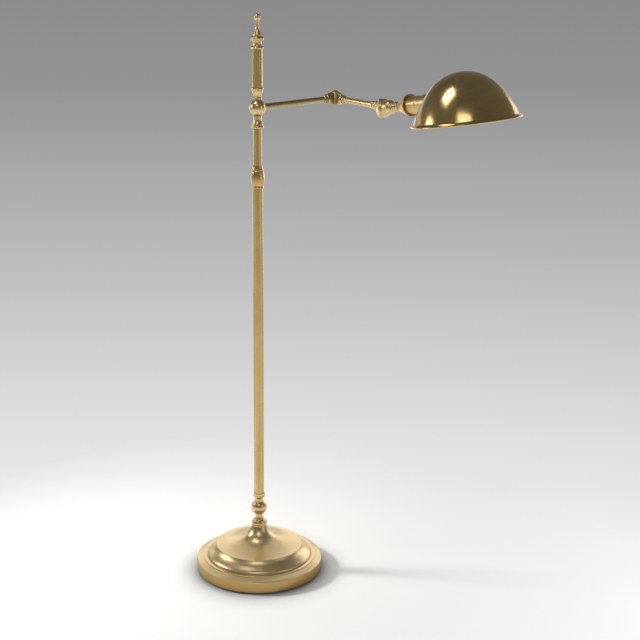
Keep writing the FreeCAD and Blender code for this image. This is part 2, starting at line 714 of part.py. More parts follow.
def swivel_base():
    """Disc on the end of the second arm: a turned ferrule behind, a grooved spigot in front."""
    face = disc_face()
    back = face - DISC_H
    groove_low = STOP_SCREW_UP - SPIGOT_GROOVE_W / 2
    groove_high = STOP_SCREW_UP + SPIGOT_GROOVE_W / 2
    disc = turned((0, back - DISC_BACK_H), (DISC_BACK_R, back - DISC_BACK_H), (DISC_R - 1.4, back),
                  (DISC_R, back + 1), (DISC_R, face - 0.4), (DISC_R - 0.4, face), (SPIGOT_R, face),
                  (SPIGOT_R, groove_low), (SPIGOT_R - SPIGOT_GROOVE, groove_low),
                  (SPIGOT_R - SPIGOT_GROOVE, groove_high), (SPIGOT_R, groove_high),
                  (SPIGOT_R, SPIGOT_H - 0.6), (SPIGOT_R - 0.6, SPIGOT_H), (0, SPIGOT_H))
    ferrule = turned((0, 8), (FERRULE_BEAD_R - 2, 8), (FERRULE_BEAD_R - 1.2, 14),
                     ((FERRULE_BEAD_R, 18), (FERRULE_BEAD_R - 1.2, 22)),
                     (FERRULE_SLEEVE_R - 0.6, 23), (FERRULE_SLEEVE_R - 0.6, 25),
                     (FERRULE_SMALL_R - 0.6, 26), ((FERRULE_SMALL_R, 28.5), (FERRULE_SMALL_R - 0.6, 31)),
                     (FERRULE_SLEEVE_R, 32), (FERRULE_SLEEVE_R, FERRULE_LENGTH - 0.6),
                     (FERRULE_SLEEVE_R - 0.6, FERRULE_LENGTH), (0, FERRULE_LENGTH))
    front = placed(Part.makeBox(99, 99, 99, V(-49, -49, face - 1)), on_swivel)
    body = placed(disc, on_swivel).fuse(placed(ferrule, on_arm_end).cut(front))
    socket = placed(rod(ARM_R + SEAT_FIT, FERRULE_LENGTH - 10, FERRULE_LENGTH + 1), on_arm_end)
    wire_way = placed(rod(WIRE_R, 0, FERRULE_LENGTH), on_arm_end)
    mouth = placed(rod(SPIGOT_R - SPIGOT_GROOVE - 1.6, 0, SPIGOT_H + 1), on_swivel)
    return body.cut(socket).cut(wire_way).cut(mouth)


def swivel_washer():
    return placed(ring(DISC_R - 1.5, SWIVEL_WASHER_IN_R, -SWIVEL_WASHER_H, 0), on_swivel)


def swivel_head():
    """Domed half of the swivel, with the boss and bead that carry the lamp holder."""
    dome = turned((0, 0), (DISC_R - 0.4, 0), (DISC_R, 0.4), (DISC_R, DOME_BAND),
                  ((DISC_R, DOME_BAND + (DOME_H - DOME_BAND) * 0.55), (DISC_R * 0.55, DOME_H), (0, DOME_H)))
    boss = turned((0, BOSS_START), (BOSS_R, BOSS_START), (BOSS_R, BOSS_SHOULDER),
                  ((BOSS_R, BOSS_SHOULDER + 6), (BOSS_R - 2, BOSS_END - 3), (BEAD_R - 0.4, BOSS_END)),
                  (BEAD_R - 1.4, BOSS_END + 0.4), (BEAD_R - 1.4, BOSS_END + 1),
                  ((BEAD_R, (BOSS_END + BEAD_END) / 2 + 0.5), (BEAD_R - 1.4, BEAD_END - 0.4)),
                  (BEAD_R - 1.8, BEAD_END), (0, BEAD_END))
    body = placed(dome, on_swivel).fuse(placed(boss, on_stem))
    bore = placed(rod(SPIGOT_R + RUN_FIT, -1, SPIGOT_H + EAR_GAP), on_swivel)
    pipe = placed(rod(STEM_PIPE_R + SEAT_FIT, STEM_PIPE_START, BEAD_END + 1), on_stem)
    wire_way = placed(rod(WIRE_R, 4, STEM_PIPE_START + 1), on_stem)
    stop = placed(rod(STOP_SCREW_R + SEAT_FIT, 0, 2 * DISC_R), on_stop_screw())
    return body.cut(bore).cut(pipe).cut(wire_way).cut(stop)


def on_stop_screw():
    """Radial line of the stop screw, on the side away from the boss."""
    out = on_swivel.Rotation.multVec(V(-1, 0, 0))
    return frame_on(SWIVEL + SWIVEL_AXIS * STOP_SCREW_UP, out, SWIVEL_AXIS)


def stop_screw():
    """Set screw whose tip runs in the groove of the spigot."""
    tip = SPIGOT_R - SPIGOT_GROOVE + EAR_GAP
    end = DISC_R - 2.6
    body = rod(STOP_SCREW_R, tip, end)
    return placed(body.cut(Part.makeBox(9, 0.6, 9, V(-4, -0.3, end - 1))), on_stop_screw())


# ================================================================ lamp holder
def stem_pipe():
    top = HOLDER_COLLAR_END + TURN_WASHER_H + STEM_NUT_H + 1
    return placed(ring(STEM_PIPE_R, STEM_PIPE_BORE_R, STEM_PIPE_START, top), on_stem)


def turn_washers():
    bore = STEM_PIPE_R + RUN_FIT
    top = HOLDER_COLLAR_END + TURN_WASHER_H
    front = ring(BEAD_R - 2.4, bore, BEAD_END, HOLDER_START - TURN_WASHER_AIR)
    back = ring(STEM_NUT_FLATS / 2, bore, HOLDER_COLLAR_END + TURN_WASHER_AIR, top)
    return [placed(front, on_stem), placed(back, on_stem)]


def stem_nut():
    bottom = HOLDER_COLLAR_END + TURN_WASHER_H
    bore = rod(STEM_PIPE_R + SEAT_FIT, bottom, bottom + STEM_NUT_H)
    return placed(hexagon(STEM_NUT_FLATS, bottom, STEM_NUT_H).cut(bore), on_stem)


def holder_cup():
    """Turned collar and flared cup behind the lamp holder."""
    bore = STEM_PIPE_R + RUN_FIT
    seat = HOUSING_R + SEAT_FIT
    rim = CUP_END - CUP_RIM_W
    inner = STEM_NUT_FLATS / 2 + 1.5
    return placed(turned(
        (bore, HOLDER_START),
        (BEAD_R - 1.8, HOLDER_START),
        (HOLDER_COLLAR_R, HOLDER_START + 1.6),
        ((HOLDER_COLLAR_R + 0.5, HOLDER_START + 4), (HOLDER_COLLAR_R, HOLDER_START + 6.4)),
        (HOLDER_COLLAR_R - 1.4, HOLDER_START + 8),
        ((HOLDER_COLLAR_R - 2, HOLDER_START + 11), (HOLDER_COLLAR_R - 1.2, HOLDER_START + 14)),
        ((HOLDER_COLLAR_R + 2, HOLDER_START + 22), (HOUSING_R, rim - 12), (CUP_R - 1.2, rim)),
        (CUP_R, rim + 0.4),
        (CUP_R, CUP_END - 0.5),
        (CUP_R - 0.5, CUP_END),
        (seat, CUP_END),
        (seat, CUP_END - HOUSING_SEAT),
        (HOUSING_R - CUP_WALL, CUP_END - HOUSING_SEAT),
        ((HOUSING_R - 4, rim - 8), (inner + 3, HOLDER_COLLAR_END + 6), (inner, HOLDER_COLLAR_END + 3)),
        (inner, HOLDER_COLLAR_END),
        (bore, HOLDER_COLLAR_END)), on_stem)


def holder_housing():
    """Tube round the lamp holder, with a rolled groove."""
    start = CUP_END - HOUSING_SEAT
    inner = HOUSING_R - HOUSING_WALL
    low = HOUSING_GROOVE_AT - 1
    high = HOUSING_GROOVE_AT + 1
    return placed(turned(
        (inner, start), (HOUSING_R, start), (HOUSING_R, low),
        ((HOUSING_R - HOUSING_GROOVE, HOUSING_GROOVE_AT), (HOUSING_R, high)),
        (HOUSING_R, HOUSING_END), (inner, HOUSING_END)), on_stem)


def shell_end():
    return HOUSING_END - SOCKET_SETBACK


def socket_insulator():
    """Moulded insulator inside the housing, bored for the screw shell."""
    outer = HOUSING_R - HOUSING_WALL - INSULATOR_PLAY
    bore = SOCKET_BORE_R + SCREW_SHELL_WALL + SEAT_FIT
    end = shell_end()
    floor = end - SCREW_SHELL_H
    start = end - INSULATOR_H
    return placed(turned(
        (WIRE_R, start), (outer - 3, start), (outer, start + 4), (outer, end - 0.6), (outer - 0.6, end),
        (bore, end), (bore, floor), (WIRE_R, floor)), on_stem)


def screw_shell():
    end = shell_end()
    return placed(ring(SOCKET_BORE_R + SCREW_SHELL_WALL, SOCKET_BORE_R, end - SCREW_SHELL_H, end), on_stem)


def centre_contact():
    floor = shell_end() - SCREW_SHELL_H
    contact = turned((0, floor), (CONTACT_R, floor), cap_to(CONTACT_R, floor, floor + CONTACT_H))
    return placed(contact, on_stem)


def holder_screw_lines():
    """Two radial lines, one on each side, where grub screws hold the insulator."""
    across = SWIVEL + STEM * (shell_end() - INSULATOR_H + GRUB_AT)
    return [frame_on(across, on_stem.Rotation.multVec(V(0, side, 0)), STEM) for side in (1, -1)]


def holder_screws():
    """Grub screws, flush with the housing so that the gallery can slide over them."""
    end = HOUSING_R - 0.2
    screw = rod(GRUB_R, HOUSING_R - GRUB_LENGTH, end).cut(Part.makeBox(9, 0.5, 9, V(-4, -0.25, end - 0.8)))
    return [placed(screw, line) for line in holder_screw_lines()]


def with_screw_holes(shape):
    for line in holder_screw_lines():
        shape = shape.cut(placed(rod(GRUB_R + SEAT_FIT, HOUSING_R - GRUB_LENGTH - 1, HOUSING_R + 1), line))
    return shape


# ================================================================ shade
def dome_points(offset):
    """Stations of the dome's outer side, moved in by offset: axis, crown, skirt and lip."""
    crown_centre = SHADE_H - CROWN_R
    a = math.radians(CROWN_ANGLE)
    b = math.radians(SKIRT_ANGLE)
    r = CROWN_R - offset
    crown = (r * math.sin(a), crown_centre + r * math.cos(a))
    crown_mid = (r * math.sin(a / 2), crown_centre + r * math.cos(a / 2))
    centre = ((CROWN_R - SKIRT_R) * math.sin(a), crown_centre + (CROWN_R - SKIRT_R) * math.cos(a))
    s = SKIRT_R - offset
    mid = (a + b) / 2
    skirt_mid = (centre[0] + s * math.sin(mid), centre[1] + s * math.cos(mid))
    skirt = (centre[0] + s * math.sin(b), centre[1] + s * math.cos(b))
    f = LIP_FLARE_R + offset
    c = math.radians(LIP_END_ANGLE)
    out = SKIRT_R + LIP_FLARE_R
    flare_centre = (centre[0] + out * math.sin(b), centre[1] + out * math.cos(b))
    half = (b + c) / 2
    lip_mid = (flare_centre[0] - f * math.sin(half), flare_centre[1] - f * math.cos(half))
    lip = (flare_centre[0] - f * math.sin(c), flare_centre[1] - f * math.cos(c))
    return (0, SHADE_H - offset), crown_mid, crown, skirt_mid, skirt, lip_mid, lip


def rim_line():
    """Radius and height of the centre of the rolled edge."""
    outer = dome_points(0)[6]
    inner = dome_points(SHADE_WALL)[6]
    return (outer[0] + inner[0]) / 2, (outer[1] + inner[1]) / 2


def shade():
    """Spun dome with a flared lip, a rolled edge and a side hole for the gallery."""
    top, crown_mid, crown, skirt_mid, skirt, lip_mid, lip = dome_points(0)
    top_i, crown_mid_i, crown_i, skirt_mid_i, skirt_i, lip_mid_i, lip_i = dome_points(SHADE_WALL)
    skin = turned(top, (crown_mid, crown), (skirt_mid, skirt), (lip_mid, lip), lip_i,
                  (lip_mid_i, skirt_i), (skirt_mid_i, crown_i), (crown_mid_i, top_i))
    radius, height = rim_line()
    bead = Part.makeTorus(radius, RIM_BEAD_R, V(0, 0, height))
    body = placed(skin.fuse(bead), on_shade)
    hole = placed(rod(HOUSING_R + GALLERY_WALL + 2 * SEAT_FIT, GALLERY_START, SHADE_TO_AXIS), on_stem)
    return body.cut(hole)


def shade_gallery():
    """Short tube that is soldered into the side of the dome and slides over the housing."""
    inner = HOUSING_R + SEAT_FIT
    outer = inner + GALLERY_WALL
    return placed(turned((inner, GALLERY_START), (outer - 0.5, GALLERY_START), (outer, GALLERY_START + 0.5),
                         (outer, GALLERY_END), (inner, GALLERY_END)), on_stem)


def shade_ring():
    """Knurled-size ring nut on the mouth of the housing, which holds the gallery."""
    bore = HOUSING_R + SEAT_FIT
    top = GALLERY_END + RING_NUT_H
    return placed(turned((bore, GALLERY_END), (RING_NUT_R - 0.6, GALLERY_END),
                         (RING_NUT_R, GALLERY_END + 0.6),
                         (RING_NUT_R, top - 0.6), (RING_NUT_R - 0.6, top), (bore, top)), on_stem)


# ================================================================ all pieces
save("rubber_feet", *rubber_feet())
save("base_cover", base_cover())
save("base_weight", base_weight())
save("base_shell", base_shell())
save("cord_bushing", cord_bushing())
save("tie_pipe", tie_pipe())
save("bottom_washer", bottom_washer())
save("bottom_nut", bottom_nut())
save("base_neck", base_neck())
save("foot_plug", foot_plug())
save("lower_tube", lower_tube())
save("clutch_collar", clutch_collar())
save("clutch_bush", clutch_bush())

save("upper_tube", upper_tube())
save("guide_ring", guide_ring())
save("hub_lower_bell", hub_lower_bell())
save("hub_pipe", hub_pipe())
save("hub_washers", *hub_washers())
save("hub_upper_bell", hub_upper_bell())
save("top_sleeve", top_sleeve())
save("top_cap", top_cap())
save("finial", finial())

save("hub_ball", hub_ball())
save("first_arm_tube", first_arm_tube())
save("elbow_lower", elbow_lower())
save("elbow_screw", elbow_screw())
save("elbow_washer", elbow_washer())

save("elbow_upper", elbow_upper())
save("second_arm_tube", second_arm_tube())
save("swivel_base", swivel_base())
save("swivel_washer", swivel_washer())

save("swivel_head", swivel_head())
save("stop_screw", stop_screw())
save("stem_pipe", stem_pipe())
save("stem_nut", stem_nut())
save("turn_washers", *turn_washers())

save("holder_cup", holder_cup())
save("holder_housing", with_screw_holes(holder_housing()))
save("socket_insulator", with_screw_holes(socket_insulator()))
save("holder_screws", *holder_screws())
save("screw_shell", screw_shell())
save("centre_contact", centre_contact())
save("shade_gallery", shade_gallery())
save("shade_ring", shade_ring())
save("shade", shade())
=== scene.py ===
import json
import math

import bpy
from mathutils import Matrix, Vector

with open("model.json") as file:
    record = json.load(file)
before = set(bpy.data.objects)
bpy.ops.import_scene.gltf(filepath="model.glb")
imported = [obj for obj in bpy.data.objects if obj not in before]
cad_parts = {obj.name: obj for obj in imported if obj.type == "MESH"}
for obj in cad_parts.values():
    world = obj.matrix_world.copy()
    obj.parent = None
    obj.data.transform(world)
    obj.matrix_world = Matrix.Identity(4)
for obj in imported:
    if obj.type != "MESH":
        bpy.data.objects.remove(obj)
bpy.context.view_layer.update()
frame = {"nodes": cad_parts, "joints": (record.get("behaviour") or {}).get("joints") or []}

# ---------------------------------------------------------------- camera
PHOTO = 640                       # side of the square photograph, pixels
FOCAL_PX = 1494.8
SENSOR = 36.0
CAMERA_AT = (0.3475, -3.101, 1.499)
PITCH, YAW, ROLL = math.radians(14.395), math.radians(-3.948), math.radians(0.36)
SHIFT_Y = -0.08

# ---------------------------------------------------------------- pieces' own directions
HEAD_TURN, SHADE_LEAN = math.radians(2.2), math.radians(1.5)    # both as in the part's source

joints = {joint["name"]: joint for joint in frame["joints"]}
hub, elbow, swivel = (Vector(joints[name]["pos_m"]) for name in ("hub_swing", "elbow_swing", "swivel_turn"))

POLE_AXIS = Vector(joints["height_slide"]["axis"])
ACROSS_POLE = Vector((1.0, 0.0, 0.0))
FIRST_ARM_AXIS = (elbow - hub).normalized()
SECOND_ARM_AXIS = Vector((swivel.x - elbow.x, swivel.y - elbow.y, 0.0)).normalized()
STEM_AXIS = Vector(joints["head_turn"]["axis"])
above_stem = (POLE_AXIS - STEM_AXIS * POLE_AXIS.dot(STEM_AXIS)).normalized()
HEAD_UP = Matrix.Rotation(HEAD_TURN, 3, STEM_AXIS) @ above_stem
SHADE_AXIS = Matrix.Rotation(-SHADE_LEAN, 3, STEM_AXIS.cross(HEAD_UP)) @ HEAD_UP
COVER_SCUFFS = Vector((1.0, 0.3, 0.0))


def make_camera():
    """Camera at the photograph's viewing angle, with its small roll."""
    data = bpy.data.cameras.new("photo_camera")
    data.sensor_width = SENSOR
    data.lens = FOCAL_PX * SENSOR / PHOTO
    data.shift_y = SHIFT_Y
    data.clip_start, data.clip_end = 0.05, 200.0
    camera = bpy.data.objects.new("photo_camera", data)
    bpy.context.scene.collection.objects.link(camera)
    forward = Vector((math.sin(YAW) * math.cos(PITCH), math.cos(YAW) * math.cos(PITCH), -math.sin(PITCH)))
    level = Vector((math.cos(YAW), -math.sin(YAW), 0.0))
    over = level.cross(forward)
    right = level * math.cos(ROLL) + over * math.sin(ROLL)
    up = over * math.cos(ROLL) - level * math.sin(ROLL)
    turn = Matrix((right, up, -forward)).transposed().to_4x4()
    camera.matrix_world = Matrix.Translation(CAMERA_AT) @ turn
    bpy.context.scene.camera = camera


# ---------------------------------------------------------------- node helpers
class Nodes:
    """A material's node tree with short calls for the nodes that the finishes share."""

    def __init__(self, name):
        self.material = bpy.data.materials.new(name)
        self.material.use_nodes = True
        self.tree = self.material.node_tree
        self.shader = self.tree.nodes["Principled BSDF"]

    def add(self, kind, **settings):
        node = self.tree.nodes.new(kind)
        for key, value in settings.items():
            setattr(node, key, value)
        return node

    def link(self, source, target):
        self.tree.links.new(source, target)

    def set(self, **values):
        for key, value in values.items():
            self.shader.inputs[key.replace("_", " ")].default_value = value

    def place(self):
        return self.add("ShaderNodeTexCoord").outputs["Object"]

    def along(self, axis, stretch, across):
        """Coordinates for grain along an axis: its scale along the axis, and its scale across, per metre."""
        turn = axis.to_track_quat("Z", "Y").inverted().to_euler()
        turned = self.add("ShaderNodeMapping", vector_type="POINT")
        turned.inputs["Rotation"].default_value = turn
        self.link(self.place(), turned.inputs["Vector"])
        scaled = self.add("ShaderNodeMapping", vector_type="POINT")
        scaled.inputs["Scale"].default_value = (across, across, stretch)
        self.link(turned.outputs["Vector"], scaled.inputs["Vector"])
        return scaled.outputs["Vector"]

    def noise(self, vector, scale, detail=3.0, roughness=0.55, distortion=0.0):
        node = self.add("ShaderNodeTexNoise")
        node.inputs["Scale"].default_value = scale
        node.inputs["Detail"].default_value = detail
        node.inputs["Roughness"].default_value = roughness
        node.inputs["Distortion"].default_value = distortion
        self.link(vector, node.inputs["Vector"])
        return node.outputs["Fac"]

    def spread(self, value, low, high, to_low=0.0, to_high=1.0):
        node = self.add("ShaderNodeMapRange", clamp=True)
        node.inputs["From Min"].default_value = low
        node.inputs["From Max"].default_value = high
        node.inputs["To Min"].default_value = to_low
        node.inputs["To Max"].default_value = to_high
        self.link(value, node.inputs["Value"])
        return node.outputs["Result"]

    def math(self, kind, first, second):
        node = self.add("ShaderNodeMath", operation=kind)
        for place, value in enumerate((first, second)):
            if isinstance(value, (int, float)):
                node.inputs[place].default_value = value
            else:
                self.link(value, node.inputs[place])
        return node.outputs["Value"]

    def blend(self, factor, first, second):
        """From the first colour at factor 0 to the second at factor 1."""
        node = self.add("ShaderNodeMix", data_type="RGBA")
        for name, value in (("Factor_Float", factor), ("A_Color", first), ("B_Color", second)):
            socket = next(s for s in node.inputs if s.identifier == name)
            if isinstance(value, tuple):
                socket.default_value = (*value, 1.0)
            else:
                self.link(value, socket)
        return next(s for s in node.outputs if s.identifier == "Result_Color")

    def crevice(self, distance):
        """Ambient occlusion: 1 in the open, falling to 0 in a groove or beside a neighbour, where shade
        falls.
        """
        node = self.add("ShaderNodeAmbientOcclusion", samples=4)
        node.inputs["Distance"].default_value = distance
        return node.outputs["AO"]

    def bump(self, height, strength, distance, below=None):
        node = self.add("ShaderNodeBump")
        node.inputs["Strength"].default_value = strength
        node.inputs["Distance"].default_value = distance
        self.link(height, node.inputs["Height"])
        if below is not None:
            self.link(below, node.inputs["Normal"])
        return node.outputs["Normal"]


# Tones of a brass finish: its light patches, its ground and its dark patches
CAST_TONES = (0.82, 0.63, 0.33), (0.72, 0.52, 0.245), (0.50, 0.31, 0.12)
POLE_TONES = (0.70, 0.50, 0.215), (0.60, 0.405, 0.155), (0.38, 0.225, 0.075)
# The first arm's darker tones are painted reflection of the dark surroundings it mirrors
FIRST_ARM_SHADED_TONES = (0.58, 0.44, 0.24), (0.47, 0.34, 0.165), (0.27, 0.18, 0.085)
HOLDER_TONES = (0.78, 0.57, 0.28), (0.68, 0.47, 0.21), (0.50, 0.31, 0.12)
BASE_TONES = (0.92, 0.73, 0.42), (0.82, 0.61, 0.31), (0.50, 0.31, 0.12)
SHADE_TONES = (0.74, 0.53, 0.24), (0.60, 0.41, 0.155), (0.38, 0.24, 0.095)
SCREW_SHELL_TONES = (0.80, 0.62, 0.30), (0.70, 0.52, 0.23), (0.36, 0.24, 0.10)
# Patina colour, used for dark specks and for painted shade in grooves and beside neighbouring parts
PATINA_AND_SHADE = (0.20, 0.115, 0.045)
RED_LACQUER = (0.44, 0.225, 0.095)          # streaks down the pole
RIM_PAINTED_TONE = (0.44, 0.27, 0.085)              # painted reflection: upright wall of the base's rim, darkened for the shaded floor it mirrors
RIM_WALL_TOP, RIM_EDGE_TOP = 0.0270, 0.0292  # heights between which that tone fades out


def aged_brass(name, axis, tones, rough, streak, grime_and_shade, cloudy=0.40):
    """Lacquered brass with an antique tint: brush lines along an axis, cloudy patina, dark crevices of patina
    and painted shade.
    """
    light, mid, dark = tones
    n = Nodes(name)
    place = n.place()
    lines = n.noise(n.along(axis, 7.0, 1400.0), 1.0, 3.0, 0.6)
    clouds = n.noise(place, 11.0, 4.0, 0.6, 0.4)
    mottle = n.noise(place, 85.0, 4.0, 0.6, 0.2)
    specks = n.noise(place, 700.0, 2.0, 0.5)
    tone = n.blend(n.spread(clouds, 0.34, 0.66), mid, light)
    tone = n.blend(n.spread(mottle, 0.50, 0.80, 0.0, cloudy), tone, dark)
    tone = n.blend(n.spread(lines, 0.35, 0.75, 0.0, 0.20 * streak), tone, dark)
    tone = n.blend(n.spread(specks, 0.67, 0.76, 0.0, 0.20 * grime_and_shade), tone, dark)
    # Patina and painted shade: ambient occlusion darkens grooves and faces beside neighbouring parts
    patina_and_shade = n.spread(n.crevice(0.006), 0.30, 0.90, 0.85 * grime_and_shade, 0.0)
    tone = n.blend(patina_and_shade, tone, PATINA_AND_SHADE)
    n.link(tone, n.shader.inputs["Base Color"])
    gloss = n.spread(mottle, 0.3, 0.75, rough - 0.03, rough + 0.07)
    gloss = n.math("ADD", gloss, n.spread(lines, 0.3, 0.7, 0.0, 0.05 * streak))
    n.link(n.math("ADD", gloss, n.math("MULTIPLY", patina_and_shade, 0.2)), n.shader.inputs["Roughness"])
    dents = n.bump(mottle, 0.05, 0.00012)
    n.link(n.bump(lines, 0.10 * streak, 0.00003, dents), n.shader.inputs["Normal"])
    n.set(Metallic=1.0, Coat_Weight=0.06, Coat_Roughness=0.15)
    return n


def pole_brass():
    """The drawn tubes of the pole, with the reddish streaks of old lacquer running down them."""
    n = aged_brass("pole_brass", POLE_AXIS, POLE_TONES, rough=0.26, streak=0.7, grime_and_shade=0.6, cloudy=0.10)
    runs = n.noise(n.along(POLE_AXIS, 3.0, 160.0), 1.0, 4.0, 0.6, 0.3)
    colour = n.shader.inputs["Base Color"]
    plain = colour.links[0].from_socket
    n.link(n.blend(n.spread(runs, 0.52, 0.70, 0.0, 0.45), plain, RED_LACQUER), colour)
    return n


def first_arm_shaded_brass():
    """The arm next to the pole, darker than the rest: painted reflection of the dark surroundings it mirrors.
    """
    return aged_brass(
        "first_arm_shaded_brass", FIRST_ARM_AXIS, FIRST_ARM_SHADED_TONES, rough=0.30, streak=0.7, grime_and_shade=0.6, cloudy=0.12)


def second_arm_brass():
    return aged_brass(
        "second_arm_brass", SECOND_ARM_AXIS, CAST_TONES, rough=0.30, streak=0.7, grime_and_shade=0.6, cloudy=0.12)


def turned_brass():
    """Cast and turned fittings on the pole, with patina in the grooves."""
    return aged_brass("turned_brass", ACROSS_POLE, CAST_TONES, rough=0.28, streak=0.4, grime_and_shade=1.0, cloudy=0.2)


def knuckle_brass():
    """The inclined swivel and the elbow's screw."""
    return aged_brass("knuckle_brass", STEM_AXIS, CAST_TONES, rough=0.31, streak=0.4, grime_and_shade=1.0, cloudy=0.25)


def holder_brass():
    """The lamp holder, its housing and the rings that hold the shade."""
    return aged_brass("holder_brass", STEM_AXIS, HOLDER_TONES, rough=0.30, streak=0.6, grime_and_shade=1.0, cloudy=0.25)


def base_brass():
    """The spun base: satin rings round the pole's axis, a soft sheen that runs out from it, and an upright
    rim wall painted darker as painted reflection.
    """
    light, mid, dark = BASE_TONES
    n = Nodes("base_brass")
    place = n.place()
    part = n.add("ShaderNodeSeparateXYZ")
    n.link(place, part.inputs["Vector"])
    flat = n.add("ShaderNodeCombineXYZ")
    n.link(part.outputs["X"], flat.inputs["X"])
    n.link(part.outputs["Y"], flat.inputs["Y"])
    reach = n.add("ShaderNodeVectorMath", operation="LENGTH")
    n.link(flat.outputs["Vector"], reach.inputs[0])
    radius = reach.outputs["Value"]
    ringed = n.add("ShaderNodeCombineXYZ")
    n.link(n.math("MULTIPLY", radius, 1800.0), ringed.inputs["X"])
    n.link(n.math("MULTIPLY", part.outputs["Z"], 1800.0), ringed.inputs["Y"])
    n.link(n.math("MULTIPLY", n.noise(place, 9.0, 2.0), 6.0), ringed.inputs["Z"])
    rings = n.noise(ringed.outputs["Vector"], 1.0, 4.0, 0.7)
    clouds = n.noise(place, 9.0, 4.0, 0.6, 0.5)
    mottle = n.noise(place, 60.0, 4.0, 0.6, 0.2)
    tone = n.blend(n.spread(clouds, 0.34, 0.66), mid, light)
    tone = n.blend(n.spread(mottle, 0.50, 0.80, 0.0, 0.12), tone, dark)
    tone = n.blend(n.spread(rings, 0.35, 0.75, 0.0, 0.15), tone, dark)
    # Painted reflection: the rim's upright wall is darkened below the rim top, standing in for the shaded
    # floor it mirrors
    rim_shade_mask = n.spread(part.outputs["Z"], RIM_WALL_TOP, RIM_EDGE_TOP, 0.85, 0.0)
    tone = n.blend(rim_shade_mask, tone, RIM_PAINTED_TONE)
    # Patina and painted shade: ambient occlusion darkens grooves and faces beside neighbouring parts
    patina_and_shade = n.spread(n.crevice(0.008), 0.40, 0.95, 0.75, 0.0)
    tone = n.blend(patina_and_shade, tone, PATINA_AND_SHADE)
    n.link(tone, n.shader.inputs["Base Color"])
    gloss = n.spread(rings, 0.3, 0.7, 0.27, 0.33)
    n.link(n.math("ADD", gloss, n.spread(mottle, 0.3, 0.7, -0.01, 0.02)), n.shader.inputs["Roughness"])
    n.link(n.bump(rings, 0.06, 0.00002), n.shader.inputs["Normal"])
    tangent = n.add("ShaderNodeTangent", direction_type="RADIAL", axis="Z")
    n.link(tangent.outputs["Tangent"], n.shader.inputs["Tangent"])
    n.set(Metallic=1.0, Anisotropic=0.55, Coat_Weight=0.06, Coat_Roughness=0.2)
    return n


def shade_brass():
    """The polished spun shade: near-mirror lacquer, slow ripple, fine spinning rings, warm patina, painted
    shade in its hollows.
    """
    light, mid, dark = SHADE_TONES
    n = Nodes("shade_brass")
    place = n.place()
    clouds = n.noise(place, 14.0, 4.0, 0.6, 0.6)
    mottle = n.noise(place, 95.0, 4.0, 0.6, 0.3)
    rings = n.noise(n.along(SHADE_AXIS, 900.0, 6.0), 1.0, 3.0, 0.6)
    specks = n.noise(place, 430.0, 2.0, 0.5)
    tone = n.blend(n.spread(clouds, 0.34, 0.66), mid, light)
    tone = n.blend(n.spread(mottle, 0.48, 0.80, 0.0, 0.40), tone, dark)
    tone = n.blend(n.spread(specks, 0.67, 0.75, 0.0, 0.22), tone, PATINA_AND_SHADE)
    # Patina and painted shade: ambient occlusion darkens grooves and faces beside neighbouring parts
    patina_and_shade = n.spread(n.crevice(0.006), 0.40, 0.92, 0.7, 0.0)
    tone = n.blend(patina_and_shade, tone, PATINA_AND_SHADE)
    n.link(tone, n.shader.inputs["Base Color"])
    gloss = n.spread(mottle, 0.3, 0.75, 0.12, 0.20)
    n.link(n.math("ADD", gloss, n.spread(rings, 0.3, 0.7, 0.0, 0.04)), n.shader.inputs["Roughness"])
    ripple = n.bump(clouds, 0.10, 0.003)
    dents = n.bump(mottle, 0.05, 0.0003, ripple)
    n.link(n.bump(rings, 0.05, 0.00005, dents), n.shader.inputs["Normal"])
    n.set(Metallic=1.0, Coat_Weight=0.10, Coat_Roughness=0.06)
    return n


def shell_brass():
    """Bare brass of the socket's screw shell and contact."""
    return aged_brass("shell_brass", STEM_AXIS, SCREW_SHELL_TONES, rough=0.30, streak=0.6, grime_and_shade=0.6)


def bright_steel():
    """Zinc-plated nuts, washers and pipe, with a faint yellow cast and turning lines."""
    n = Nodes("bright_steel")
    place = n.place()
    lines = n.noise(n.along(POLE_AXIS, 900.0, 20.0), 1.0, 3.0, 0.6)
    mottle = n.noise(place, 180.0, 4.0, 0.6, 0.3)
    tone = n.blend(n.spread(mottle, 0.35, 0.7), (0.56, 0.55, 0.51), (0.42, 0.40, 0.35))
    # Grime and painted shade: ambient occlusion darkens grooves and faces beside neighbouring parts
    tone = n.blend(n.spread(n.crevice(0.004), 0.3, 0.9, 0.6, 0.0), tone, (0.10, 0.085, 0.07))
    n.link(tone, n.shader.inputs["Base Color"])
    n.link(n.spread(mottle, 0.3, 0.7, 0.28, 0.46), n.shader.inputs["Roughness"])
    n.link(n.bump(lines, 0.2, 0.0002), n.shader.inputs["Normal"])
    n.set(Metallic=1.0)
    return n


def cover_steel():
    """The pressed cover under the base: dull dark paint with a fine orange peel and scuffs."""
    n = Nodes("cover_steel")
    place = n.place()
    peel = n.noise(place, 900.0, 2.0, 0.5)
    scuffs = n.noise(n.along(COVER_SCUFFS, 12.0, 260.0), 1.0, 4.0, 0.7)
    tone = n.blend(n.spread(scuffs, 0.58, 0.72, 0.0, 0.6), (0.030, 0.028, 0.026), (0.14, 0.13, 0.12))
    n.link(tone, n.shader.inputs["Base Color"])
    n.link(n.spread(scuffs, 0.4, 0.7, 0.55, 0.38), n.shader.inputs["Roughness"])
    n.link(n.bump(peel, 0.25, 0.0003), n.shader.inputs["Normal"])
    n.set(Metallic=0.2)
    return n


